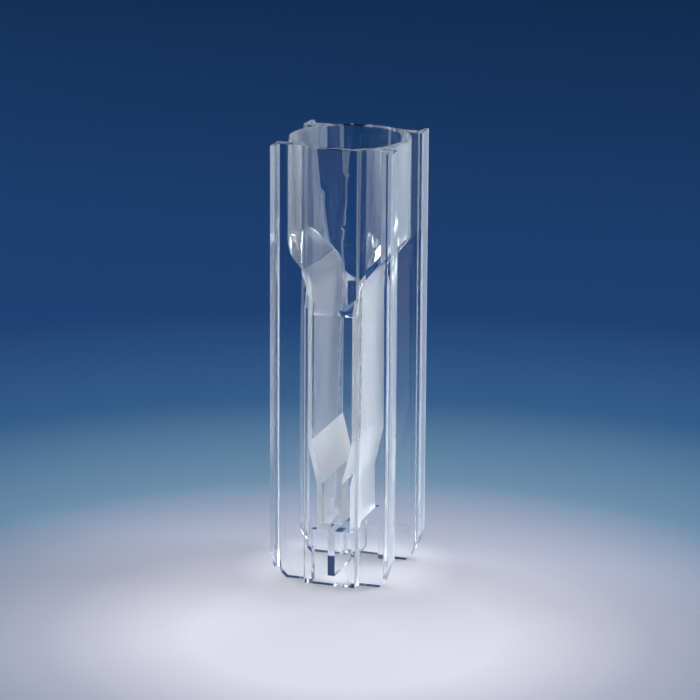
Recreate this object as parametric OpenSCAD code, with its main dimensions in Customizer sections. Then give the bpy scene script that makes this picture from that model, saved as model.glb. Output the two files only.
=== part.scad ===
// Disposable cuvette for small sample volumes, moulded in one piece from clear plastic.
// Millimetres. X is the width, Y the light path with the front at -Y, Z is up from the bottom edge.
// A round filling tube runs down into a narrow chamber between two flat optical windows.
// Two ribbed panels, front and back, carry the windows and bring the outside to the holder size.

/* [Outside] */
// Width over the two panels
body_w = 12.5; // [11.6:0.1:15]
// Depth over the window pads and the edge ribs
body_d = 12.5; // [11.8:0.1:14]
// Overall height
body_h = 45; // [42:0.5:55]

/* [Panels] */
// Thickness of each flat panel
panel_t = 1.15; // [0.8:0.05:1.3]
// How far the edge ribs stand out from the panel
rib_proud = 1.15; // [0.7:0.05:1.3]
// Width of the rib along each upright edge
rib_w = 0.5; // [0.35:0.05:0.9]
// Radius of the rounding in the corners between the panel and what stands out of it
root_r = 0.35; // [0.1:0.05:0.5]
// How far the outer window faces lie behind the rib faces
window_sink = 0.12; // [0.05:0.01:0.2]
// Width of the long corner cut at the foot of a panel
corner_w = 0.8; // [0.5:0.05:1.2]
// Height of the long corner cut
corner_h = 2.2; // [1:0.1:3]
// Size of the short corner cut below it
corner_tip = 0.5; // [0.2:0.05:0.8]

/* [Filling tube] */
// Outside radius of the tube
tube_r = 6.1; // [5.8:0.05:6.15]
// Bore radius at the mouth
mouth_r = 5.25; // [5.1:0.05:5.5]
// Height where the tapering bore has shrunk to the light path
flat_start_z = 35; // [34:0.1:40]
// Height where the outer shoulders begin below the straight tube
shoulder_top_z = 35.2; // [34.5:0.1:37]
// Height where the shoulders end on the narrow body
shoulder_low_z = 31.2; // [29.5:0.1:32]
// Radius of the bend where a shoulder runs out into the narrow body
bend_r = 3; // [1:0.5:5]

/* [Chamber] */
// Light path between the inner window faces
light_path = 10; // [9.8:0.1:10.2]
// Inner width of the tall middle chamber
chamber_w = 4.2; // [3.6:0.1:4.4]
// Side wall thickness of the middle chamber
side_wall = 0.6; // [0.45:0.05:0.8]
// Height of the top edge of the flat inner windows
window_top_z = 28; // [26:0.1:29]
// Height where the middle chamber starts to narrow
funnel_top_z = 15; // [13.5:0.1:18]
// Height where the narrowing ends
funnel_low_z = 10.5; // [9.5:0.1:11.5]
// Inner width of the measuring chamber
cell_w = 2; // [1.6:0.1:2.4]
// Side wall thickness of the measuring chamber
cell_wall = 0.75; // [0.5:0.05:0.9]
// Height of the chamber floor
floor_z = 6.35; // [5.8:0.05:7.5]
// Thickness of the chamber floor
floor_t = 0.8; // [0.5:0.05:1]
// Thickness of the upright web under the floor
web_t = 0.75; // [0.5:0.05:1]
// Height of the web's lower edge
web_z = 0.8; // [0.4:0.1:2]

/* [Hidden] */
$fn = 96;
e = 0.01;
plastic = [0.86, 0.93, 0.97, 0.45];
rib_y = body_d / 2;
panel_out = rib_y - rib_proud;
panel_in = panel_out - panel_t;
window_y = rib_y - window_sink;
floor_low = floor_z - floor_t;
narrow_w = cell_w + 2 * cell_wall;
middle_w = chamber_w + 2 * side_wall;
funnel_slope = (chamber_w - cell_w) / 2 / (funnel_top_z - funnel_low_z);
outer_funnel_low = funnel_low_z - (cell_wall - side_wall) / funnel_slope / 2;
outer_funnel_top = outer_funnel_low + (middle_w - narrow_w) / 2 / funnel_slope;
shoulder_slope = (tube_r - middle_w / 2) / (shoulder_top_z - shoulder_low_z);
shoulder_turn = atan(shoulder_slope);
bore_slope = (mouth_r - light_path / 2) / (body_h - flat_start_z);
throat_r = mouth_r - bore_slope * (body_h - window_top_z);
// the inner shoulder runs parallel to the outer one, lifted so that the wall keeps its thickness
inner_shift = side_wall * (sqrt(1 + shoulder_slope * shoulder_slope) - 1) / shoulder_slope;
inner_low_z = shoulder_low_z + inner_shift;
inner_top_z = inner_low_z + (mouth_r - chamber_w / 2) / shoulder_slope;

// points of the bend that takes an upright wall at x over into a shoulder that starts at height z
function bend(x, z, r, steps = 8) =
  let (run = r * tan(shoulder_turn / 2))
    [for (i = [0:steps])
      let (a = shoulder_turn * i / steps)
        [x + r * (1 - cos(a)), z - run + r * sin(a)]];

// outline in X and Z, mirrored about the centre and drawn out along Y
module drawn_y(points, half) {
  rotate([90, 0, 0])
    translate([0, 0, -half])
      linear_extrude(height = 2 * half)
        union() {
          polygon(points);
          mirror([1, 0])
            polygon(points);
        }
}

// outside of tube, shoulders and narrow body in one outline
module silhouette() {
  drawn_y(concat(
    [
      [-e, floor_low],
      [narrow_w / 2, floor_low],
      [narrow_w / 2, outer_funnel_low],
      [middle_w / 2, outer_funnel_top]
    ],
    bend(middle_w / 2, shoulder_low_z, bend_r),
    [
      [tube_r, shoulder_top_z],
      [tube_r + 1, shoulder_top_z],
      [tube_r + 1, body_h + 1],
      [-e, body_h + 1]
    ]
  ), tube_r + 1);
}

module tube_outside() {
  intersection() {
    translate([0, 0, floor_low])
      cylinder(r = tube_r, h = body_h - floor_low);
    silhouette();
  }
}

// round bore with a slight draft, flattened front and back to the light path
module bore() {
  intersection() {
    translate([0, 0, window_top_z])
      cylinder(r1 = throat_r, r2 = mouth_r + bore_slope, h = body_h + 1 - window_top_z);
    drawn_y(concat(
      [[-e, window_top_z - 1], [chamber_w / 2, window_top_z - 1]],
      bend(chamber_w / 2, inner_low_z, bend_r + side_wall),
      [
        [mouth_r, inner_top_z],
        [mouth_r + 1, inner_top_z],
        [mouth_r + 1, body_h + 2],
        [-e, body_h + 2]
      ]
    ), light_path / 2);
  }
}

// flat-sided chamber between the windows
module chamber() {
  drawn_y([
    [-e, floor_z],
    [cell_w / 2, floor_z],
    [cell_w / 2, funnel_low_z],
    [chamber_w / 2, funnel_top_z],
    [chamber_w / 2, window_top_z],
    [-e, window_top_z]
  ], light_path / 2);
}

// quarter-round filling for an inside corner at x, opening to the side and away from the panel
module root_rounding(x, side, top) {
  translate([x, -panel_out, 0])
    mirror([side > 0 ? 0 : 1, 0, 0])
      mirror([0, 1, 0])
        linear_extrude(height = top)
          difference() {
            translate([-e, -e])
              square(root_r + e);
            translate([root_r, root_r])
              circle(r = root_r);
          }
}

// one panel with its ribs and the flat block that carries the window, front or back
module panel() {
  block_top = shoulder_low_z - bend_r * tan(shoulder_turn / 2);
  translate([-body_w / 2, -panel_out, 0])
    cube([body_w, panel_t, body_h]);
  for (side = [-1, 1]) {
    translate([side * (body_w - rib_w) / 2 - rib_w / 2, -rib_y, 0])
      cube([rib_w, rib_proud + e, body_h]);
    root_rounding(side * (body_w / 2 - rib_w), -side, body_h);
    root_rounding(side * middle_w / 2, side, block_top);
  }
  window_block(block_top);
}

// block behind the outer window face, its upper end sloping back into the round tube
module window_block(top) {
  step = window_y - sqrt(tube_r * tube_r - middle_w * middle_w / 4);
  rotate([90, 0, 90])
    translate([0, 0, -middle_w / 2])
      linear_extrude(height = middle_w)
        polygon([
          [-window_y, 0],
          [-window_y, top - 2 * step],
          [-window_y + step + 0.1, top + 0.2],
          [-panel_out + e, top + 0.2],
          [-panel_out + e, 0]
        ]);
}

// foot corner cut away on both sides of both panels
module foot_corners() {
  for (side = [0, 1])
    mirror([side, 0, 0])
      rotate([90, 0, 0])
        translate([0, 0, -body_d])
          linear_extrude(height = 2 * body_d)
            polygon([
              [body_w / 2 - corner_w - corner_tip, -1],
              [body_w / 2 - corner_w - corner_tip, 0],
              [body_w / 2 - corner_w, corner_tip],
              [body_w / 2, corner_tip + corner_h],
              [body_w / 2 + 1, corner_tip + corner_h],
              [body_w / 2 + 1, -1]
            ]);
}

// room under the chamber floor, where the two panels are thinner behind their window pads
module under_floor() {
  translate([-chamber_w / 2, -light_path / 2, -1])
    cube([chamber_w, light_path, floor_low + 1]);
}

// upright web that ties the two panels together under the floor
module web() {
  translate([-web_t / 2, -light_path / 2 - e, web_z])
    cube([web_t, light_path + 2 * e, floor_low - web_z + e]);
}

module cuvette() {
  color(plastic) {
    difference() {
      union() {
        tube_outside();
        panel();
        mirror([0, 1, 0])
          panel();
      }
      bore();
      chamber();
      under_floor();
      foot_corners();
    }
    web();
  }
}

cuvette();
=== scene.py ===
# %% [markdown]
# # A moulded cuvette in clear plastic
# The CAD part is one clear solid: a round filling tube that runs down into a narrow chamber
# between two flat windows, held by a ribbed panel in front and one behind.
# Nothing moves and nothing is printed on it, so the look rests on three things.
# They are the rounding of the edges, the difference between polished and matt faces,
# and lamps that the edges can catch while the flat faces stay clear.

# %% Load the frame
import math
import bmesh
import bpy
from mathutils import Matrix, Vector


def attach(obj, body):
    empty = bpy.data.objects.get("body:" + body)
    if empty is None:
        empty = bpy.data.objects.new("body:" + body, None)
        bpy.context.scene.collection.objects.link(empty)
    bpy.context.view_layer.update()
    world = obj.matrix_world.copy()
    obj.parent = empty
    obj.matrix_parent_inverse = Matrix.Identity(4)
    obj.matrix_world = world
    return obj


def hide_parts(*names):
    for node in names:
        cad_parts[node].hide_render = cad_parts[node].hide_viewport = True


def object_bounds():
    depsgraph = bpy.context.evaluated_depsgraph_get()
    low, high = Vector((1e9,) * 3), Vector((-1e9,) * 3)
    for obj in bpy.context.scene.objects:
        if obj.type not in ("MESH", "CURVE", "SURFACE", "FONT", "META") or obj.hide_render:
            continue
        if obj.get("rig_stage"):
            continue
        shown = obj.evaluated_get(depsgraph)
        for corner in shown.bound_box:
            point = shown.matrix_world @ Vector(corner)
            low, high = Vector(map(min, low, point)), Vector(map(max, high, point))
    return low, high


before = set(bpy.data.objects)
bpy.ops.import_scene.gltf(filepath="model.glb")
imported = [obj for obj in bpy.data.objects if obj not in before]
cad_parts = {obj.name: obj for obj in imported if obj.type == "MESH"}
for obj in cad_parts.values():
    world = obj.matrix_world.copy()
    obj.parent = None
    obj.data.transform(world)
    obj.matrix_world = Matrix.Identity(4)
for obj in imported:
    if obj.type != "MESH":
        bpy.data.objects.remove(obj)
cad_low, cad_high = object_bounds()
MM = 0.001
scene = bpy.context.scene
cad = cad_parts["cuvette"]
print("CAD box in mm", [round((b - a) / MM, 2) for a, b in zip(cad_low, cad_high)])

# %% [markdown]
# ## Places on the part
# The heights and widths below name the places where the surface changes.
# They are written once, in millimetres, and the steps that shape and finish the part use them.
# Half widths are measured from the middle plane, because the part is the same on both sides.
# HAIR, CLOSE and NEAR say how near a point has to be to a plane to count as lying on it.

# %% Name the places
HAIR, CLOSE, NEAR = 0.01, 0.02, 0.1
BODY_HALF = 2.7
PANEL_BACK = 3.95
LIGHT_HALF = 5.0
FLOOR_UNDER = 5.55
FUNNEL = (10.5, 15.0)
WINDOW_TOP = 28.0
SHOULDER = (31.2, 35.2)
EDGE_HALF = cad_high[0] / MM
print("edge half width", round(EDGE_HALF, 2), "funnel height", FUNNEL[1] - FUNNEL[0])

# %% [markdown]
# ## Marks of the mould
# Molten plastic flows up the walls as the mould fills, and it leaves faint marks along the way.
# One node group makes them for every finish, so they run on from face to face.
# A broad cloud, stretched along the height, shifts the tint and the roughness a little.
# A second noise gives a height for the Bump node of each finish: long soft waves
# on a polished face, and the fine grain of a spark-cut mould on a matt one.

# %% Build the mould marks
def calculate(tree, operation, *values):
    node = tree.nodes.new("ShaderNodeMath")
    node.operation = operation
    for socket, value in zip(node.inputs, values):
        if isinstance(value, float):
            socket.default_value = value
        else:
            tree.links.new(value, socket)
    return node.outputs[0]


marks = bpy.data.node_groups.new("mould_marks", "ShaderNodeTree")
for way, labels in (
    ("INPUT", ("Tint", "Roughness", "Clouds", "Grain")),
    ("OUTPUT", ("Tint", "Roughness", "Height")),
):
    for label in labels:
        kind = "NodeSocketColor" if label == "Tint" else "NodeSocketFloat"
        marks.interface.new_socket(label, in_out=way, socket_type=kind)
given = marks.nodes.new("NodeGroupInput")
result = marks.nodes.new("NodeGroupOutput")
place = marks.nodes.new("ShaderNodeTexCoord")
stretch = marks.nodes.new("ShaderNodeMapping")
stretch.inputs["Scale"].default_value = (1, 1, 0.2)
cloud = marks.nodes.new("ShaderNodeTexNoise")
cloud.inputs["Scale"].default_value = 260
cloud.inputs["Detail"].default_value = 3
grain = marks.nodes.new("ShaderNodeTexNoise")
shade = marks.nodes.new("ShaderNodeVectorMath")
shade.operation = "SCALE"
marks.links.new(place.outputs["Object"], stretch.inputs["Vector"])
marks.links.new(stretch.outputs["Vector"], cloud.inputs["Vector"])
marks.links.new(place.outputs["Object"], grain.inputs["Vector"])
marks.links.new(given.outputs["Grain"], grain.inputs["Scale"])
middle = calculate(marks, "SUBTRACT", cloud.outputs[0], 0.5)
swing = calculate(marks, "MULTIPLY", middle, given.outputs["Clouds"])
rough = calculate(marks, "MAXIMUM", calculate(marks, "ADD", swing, given.outputs["Roughness"]), 0.0)
marks.links.new(given.outputs["Tint"], shade.inputs[0])
marks.links.new(calculate(marks, "MULTIPLY_ADD", swing, 0.4, 1.0), shade.inputs["Scale"])
marks.links.new(shade.outputs["Vector"], result.inputs["Tint"])
marks.links.new(rough, result.inputs["Roughness"])
marks.links.new(grain.outputs[0], result.inputs["Height"])
print("mould marks nodes", len(marks.nodes))

# %% [markdown]
# ## One plastic, four finishes
# Polystyrene bends light strongly, so its index of refraction is 1.57.
# A mould for a cuvette is polished only where the light beam passes.
# The narrow side walls are left matt so that fingers and clips do not spoil a clear face.
# The sides of the tube and the edges of the panels are nearly smooth, with a thin milky haze.
# The slopes of the funnel let the least light through and are near-white: a painted highlight that
# stands for a softbox glinting on them.
# The grain is given as marks per metre, and its depth in thousandths of a millimetre.

# %% Make the four finishes
POLYSTYRENE_IOR = 1.57


def plastic(name, tint, rough, through, clouds, grain_count, grain_depth):
    material = bpy.data.materials.new(name)
    material.use_nodes = True
    tree = material.node_tree
    group = tree.nodes.new("ShaderNodeGroup")
    group.node_tree = marks
    group.inputs["Tint"].default_value = (*tint, 1)
    group.inputs["Roughness"].default_value = rough
    group.inputs["Clouds"].default_value = clouds
    group.inputs["Grain"].default_value = grain_count
    bump = tree.nodes.new("ShaderNodeBump")
    bump.inputs["Distance"].default_value = grain_depth * MM / 1000
    surface = tree.nodes["Principled BSDF"]
    surface.inputs["IOR"].default_value = POLYSTYRENE_IOR
    surface.inputs["Transmission Weight"].default_value = through
    tree.links.new(group.outputs["Tint"], surface.inputs["Base Color"])
    tree.links.new(group.outputs["Roughness"], surface.inputs["Roughness"])
    tree.links.new(group.outputs["Height"], bump.inputs["Height"])
    tree.links.new(bump.outputs["Normal"], surface.inputs["Normal"])
    return material


finishes = [
    plastic("polished_plastic", (0.97, 0.985, 1.0), 0.0, 1.0, 0.02, 350, 2),
    plastic("matt_plastic", (0.86, 0.925, 1.0), 0.6, 0.68, 0.5, 4000, 8),
    plastic("hazy_plastic", (0.84, 0.93, 1.0), 0.12, 0.68, 0.3, 900, 3),
    # painted highlight: near-white, almost opaque plastic for the funnel slopes, standing for a
    # softbox glint
    plastic("white_highlight_plastic", (0.99, 0.995, 1.0), 0.6, 0.05, 0.3, 4000, 8),
]
POLISHED, MATT, HAZY, WHITE_HIGHLIGHT = range(4)
print("finishes", [m.name for m in finishes])

# %% [markdown]
# ## One welded skin
# Clear plastic shows every seam, because light crosses a surface twice where two faces overlap.
# The CAD mesh is copied, its doubled corners are welded, and flat neighbours are merged.
# What is left is one closed skin with large flat faces, which the next steps can round cleanly.

# %% Weld a copy of the CAD part
WELD = 1e-6
body = cad.copy()
body.data = cad.data.copy()
body.name = "cuvette_body"
body.parent = None
for key in [k for k in body.keys() if k.startswith("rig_")]:
    del body[key]
scene.collection.objects.link(body)

skin = bmesh.new()
skin.from_mesh(body.data)
bmesh.ops.remove_doubles(skin, verts=skin.verts, dist=WELD)
bmesh.ops.dissolve_limit(skin, angle_limit=math.radians(0.5), verts=skin.verts, edges=skin.edges)
print("faces", len(skin.faces), "open edges", sum(not e.is_manifold for e in skin.edges))

# %% [markdown]
# ## The ledge over the window
# The flat window is let into the end of the round bore, which leaves a small step at its top.
# In the moulded part that step is even and narrow, and it shows as one straight bright line.
# Moving the bore's lowest corners out to one depth gives the step that even width.

# %% Even out the ledge
LEDGE = 0.14
moved = 0
for corner in skin.verts:
    x, y, z = corner.co / MM
    if abs(z - WINDOW_TOP) < CLOSE and abs(y) < LIGHT_HALF - NEAR and abs(x) < BODY_HALF:
        corner.co.y = math.copysign(LIGHT_HALF - LEDGE, y) * MM
        moved += 1
print("ledge corners moved", moved)

# %% [markdown]
# ## Soft shoulders
# Plastic flows badly round a sharp corner, so a mould rounds the change from tube to shoulder.
# Only the curved edges where a slanting shoulder meets the round wall are picked.
# Edges that lie against a panel stay sharp, and so do those in the lowest part and at the rim.
# Where an edge is short, the clamp makes the rounding smaller than SHOULDER_ROUND.

# %% Round the shoulders
SHOULDER_ROUND = 0.9
ABOVE_SHOULDER, BELOW_RIM = SHOULDER[0] + 1.4, 41


def is_shoulder(face):
    return 0.5 < abs(face.normal.z) < 0.8 and face.calc_area() > 5 * MM * MM


def on_panel(a, b):
    return all(abs(abs(p.y) - PANEL_BACK) < HAIR for p in (a, b))


shoulders = []
for edge in skin.edges:
    if not edge.is_manifold or edge.calc_face_angle() < math.radians(14):
        continue
    a, b = (v.co / MM for v in edge.verts)
    low, high = min(a.z, b.z), max(a.z, b.z)
    on_window = min(abs(a.y), abs(b.y)) > LIGHT_HALF - CLOSE
    if low < ABOVE_SHOULDER or high > BELOW_RIM or on_window:
        continue
    if sum(is_shoulder(f) for f in edge.link_faces) == 1 and not on_panel(a, b):
        shoulders.append(edge)
bmesh.ops.bevel(skin, geom=shoulders, offset=SHOULDER_ROUND * MM, offset_type="OFFSET", segments=6,
                profile=0.5, affect="EDGES", clamp_overlap=True, material=-1)
print("shoulder edges rounded", len(shoulders))

# %% [markdown]
# ## Smooth faces, crisp folds
# The curved walls are shaded smooth and the real folds are kept as folds.
# A small rounding on every fold comes from a Bevel modifier.
# It matters more here than on an opaque part, because a rounded edge of clear plastic
# gathers light from a wide angle and draws the bright lines that describe the shape.

# %% Shade and round the edges
EDGE_ROUND = 0.16
for face in skin.faces:
    face.smooth = True
for edge in skin.edges:
    if edge.is_manifold and edge.calc_face_angle() > math.radians(20):
        edge.smooth = False
skin.to_mesh(body.data)
skin.free()

rounding = body.modifiers.new("edge", "BEVEL")
rounding.width = EDGE_ROUND * MM
rounding.segments = 4
rounding.limit_method = "ANGLE"
rounding.angle_limit = math.radians(25)
rounding.harden_normals = True
rounding.use_clamp_overlap = True
print("skin faces before rounding", len(body.data.polygons))

# %% [markdown]
# ## Which face gets which finish
# The choice follows the mould: a face is matt where it looks sideways, away from the beam.
# The same test works on both sides, because it compares the way a face looks with its place.
# The sides of the tube and the edges of the panels take the hazy finish.
# The slopes of the funnel take the near-white one, a painted highlight.
# Everything else is polished: the rim, the windows, both panels and the ledges over the windows.

# %% Give each face its finish
HAZY_FROM = SHOULDER[1] - 1.2
PANEL_EDGE = EDGE_HALF - 0.05


def finish_of(face):
    at, way = face.center / MM, face.normal
    outward = way.x * at.x > 0.3 * abs(at.x)
    between_panels = abs(at.y) < PANEL_BACK + HAIR
    pad_side = abs(abs(at.x) - BODY_HALF) < NEAR
    side_wall = outward and at.z > FLOOR_UNDER and (between_panels or pad_side)
    panel_edge = outward and abs(at.x) > PANEL_EDGE
    slope = way.x * at.x < 0 and 0.15 < way.z < 0.75 and FUNNEL[0] < at.z < FUNNEL[1]
    # the funnel slopes get the near-white painted highlight
    if slope:
        return WHITE_HIGHLIGHT
    if panel_edge or (side_wall and at.z > HAZY_FROM):
        return HAZY
    return MATT if side_wall else POLISHED


body.data.materials.clear()
for material in finishes:
    body.data.materials.append(material)
for face in body.data.polygons:
    face.material_index = finish_of(face)
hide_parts("cuvette")
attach(body, "root")
used = [face.material_index for face in body.data.polygons]
print("faces per finish", [used.count(k) for k in range(4)])

# %% [markdown]
# ## The sheet it stands on
# Clear plastic is drawn by what lies behind it, so the sheet goes from pale to deep blue. The fade
# is partly the sheet's own colour, a pale floor giving way to a blue backdrop, and partly a painted
# pool of light that falls off away from the part.
# The fade is a ramp over the distance from a point just in front of the foot.
# Six tones make it, each set at a distance in millimetres: they fall quickly at first,
# then slowly, and red falls faster than blue.
# The part keeps light away from the ground under it, which would look grey through the foot.
# A soft paler spot round the foot makes up for that, and it leaves only a faint shadow.
# The tones are the sheet's colours with that painted fall-off of light in them, and they render
# about a third brighter than written.

# %% Lay the sheet
FADE = 240
# sheet colour with a painted pool of light: pale near the part, deep blue far off
tones = {
    15: (0.47, 0.47, 0.54),
    30: (0.27, 0.28, 0.36),
    50: (0.085, 0.15, 0.22),
    80: (0.019, 0.06, 0.14),
    120: (0.007, 0.027, 0.088),
    FADE: (0.005, 0.02, 0.066),
}
UNDER_PART = Vector((-6.2, 19, 0.02))
SPOT_CORE, SPOT_EDGE, SPOT_LIFT = 3, 12.5, 0.25
bpy.ops.mesh.primitive_plane_add(size=6)
sheet = bpy.context.active_object
sheet.name = "sheet"
sheet.location = -UNDER_PART * MM
paper = bpy.data.materials.new("sheet")
paper.use_nodes = True
nodes, links = paper.node_tree.nodes, paper.node_tree.links
surface = nodes["Principled BSDF"]
surface.inputs["Roughness"].default_value = 0.9
surface.inputs["Specular IOR Level"].default_value = 0.0
place = nodes.new("ShaderNodeTexCoord")
distance = nodes.new("ShaderNodeVectorMath")
distance.operation = "LENGTH"
share = nodes.new("ShaderNodeMapRange")
share.inputs["From Max"].default_value = FADE * MM
ramp = nodes.new("ShaderNodeValToRGB")
links.new(place.outputs["Object"], distance.inputs[0])
links.new(distance.outputs["Value"], share.inputs["Value"])
links.new(share.outputs["Result"], ramp.inputs["Fac"])
reach = nodes.new("ShaderNodeVectorMath")
reach.operation = "DISTANCE"
reach.inputs[1].default_value = UNDER_PART * MM
spot = nodes.new("ShaderNodeMapRange")
spot.interpolation_type = "SMOOTHSTEP"
spot.inputs["From Min"].default_value = SPOT_CORE * MM
spot.inputs["From Max"].default_value = SPOT_EDGE * MM
spot.inputs["To Min"].default_value = SPOT_LIFT
spot.inputs["To Max"].default_value = 0
lift = nodes.new("ShaderNodeVectorMath")
lift.operation = "ADD"
links.new(place.outputs["Object"], reach.inputs[0])
links.new(reach.outputs["Value"], spot.inputs["Value"])
links.new(ramp.outputs["Color"], lift.inputs[0])
links.new(spot.outputs["Result"], lift.inputs[1])
links.new(lift.outputs["Vector"], surface.inputs["Base Color"])
stops = ramp.color_ramp.elements
while len(stops) < len(tones):
    stops.new(0.5)
for stop, (far, tone) in zip(stops, tones.items()):
    stop.position = far / FADE
    stop.color = (*tone, 1)
sheet.data.materials.append(paper)
sheet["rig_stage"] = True
print("sheet tones", len(stops))

# %% [markdown]
# ## A room that the plastic can stand in
# The world lights matt faces evenly with white.
# Seen directly, mirrored or through clear plastic it is the deep blue of the far sheet,
# so the clear faces don't fill with white.
# Light that has already met a matt face gets the white room again, also through a clear wall.

# %% Set the room
world = bpy.data.worlds.new("studio")
scene.world = world
world.use_nodes = True
nodes, links = world.node_tree.nodes, world.node_tree.links
white = nodes["Background"]
white.inputs["Color"].default_value = (1, 1, 1, 1)
white.inputs["Strength"].default_value = 0.35
blue = nodes.new("ShaderNodeBackground")
blue.inputs["Color"].default_value = (0.012, 0.042, 0.14, 1)
path = nodes.new("ShaderNodeLightPath")

tree = world.node_tree
seen = calculate(tree, "MAXIMUM", path.outputs["Is Camera Ray"], path.outputs["Is Glossy Ray"])
seen = calculate(tree, "MAXIMUM", seen, path.outputs["Is Transmission Ray"])
direct = calculate(tree, "LESS_THAN", path.outputs["Diffuse Depth"], 0.5)
choice = nodes.new("ShaderNodeMixShader")
links.new(calculate(tree, "MULTIPLY", seen, direct), choice.inputs[0])
links.new(white.outputs[0], choice.inputs[1])
links.new(blue.outputs[0], choice.inputs[2])
links.new(choice.outputs[0], nodes["World Output"].inputs[0])
print("room white level", round(white.inputs["Strength"].default_value, 2))

# %% [markdown]
# ## Softboxes for the edges
# Two tall boxes stand at the sides, so upright edges and matt walls glow.
# The left one stands further round, out of the line through the window, which stays clear.
# A third stands high behind, and a fourth hangs overhead for the rim and all slopes.
# Both are weak, because they light the sheet most and would make its tones too bright.
# None is low in the line behind the part, which keeps the foot's underside dark and crisp.

# %% Place the softboxes
def softbox(name, at, size, power, aim=(0, 0, 22)):
    lamp = bpy.data.lights.new(name, "AREA")
    lamp.shape = "RECTANGLE"
    lamp.size, lamp.size_y = size[0] * MM, size[1] * MM
    lamp.energy = power
    box = bpy.data.objects.new(name, lamp)
    box.location = Vector(at) * MM
    box.rotation_euler = (Vector(aim) - Vector(at)).to_track_quat("-Z", "Y").to_euler()
    scene.collection.objects.link(box)


softbox("left", (-330, 90, 70), (240, 340), 2.3)
softbox("right", (260, 130, 70), (200, 340), 1.7)
softbox("back", (-50, 260, 260), (400, 160), 0.6)
softbox("top", (0, 0, 360), (300, 300), 0.6)

# %% [markdown]
# ## The view
# The camera looks a little down and from the right, as someone would hold the part up to read it.
# A long distance with a long lens keeps the upright edges nearly parallel.
# The clear walls cross a ray many times, so the limit on bounces is raised.

# %% Set the camera
DISTANCE, ACROSS = 401.3, 70.5
AIM = Vector((0.1, 0, 23.05))
turn, tilt, roll = math.radians(18), math.radians(15.87), math.radians(0.33)
away = Vector((math.sin(turn) * math.cos(tilt), -math.cos(turn) * math.cos(tilt), math.sin(tilt)))
side = (-away).cross(Vector((0, 0, 1))).normalized()
up = side.cross(-away)
side, up = side * math.cos(roll) + up * math.sin(roll), up * math.cos(roll) - side * math.sin(roll)

lens = bpy.data.cameras.new("camera")
lens.sensor_width = 36
lens.lens = DISTANCE / ACROSS * lens.sensor_width
lens.clip_start, lens.clip_end = 0.01, 20
camera = bpy.data.objects.new("camera", lens)
scene.collection.objects.link(camera)
stand = (AIM + away * DISTANCE) * MM
axes = Matrix((side, up, away)).transposed()
camera.matrix_world = Matrix.Translation(stand) @ axes.to_4x4()
scene.camera = camera
scene.view_settings.view_transform = "Standard"
scene.cycles.max_bounces = 24
scene.cycles.transmission_bounces = 24
scene.cycles.glossy_bounces = 12
scene.cycles.transparent_max_bounces = 24
print("lens", round(lens.lens, 1), "mm")

# %% [markdown]
# The finished part is measured again and both boxes are kept.
# Rounding only takes plastic away, so the shown part lies inside the CAD part's box.

# %% Measure and finish
low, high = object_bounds()
print("shown box in mm", [round((b - a) / MM, 2) for a, b in zip(low, high)])
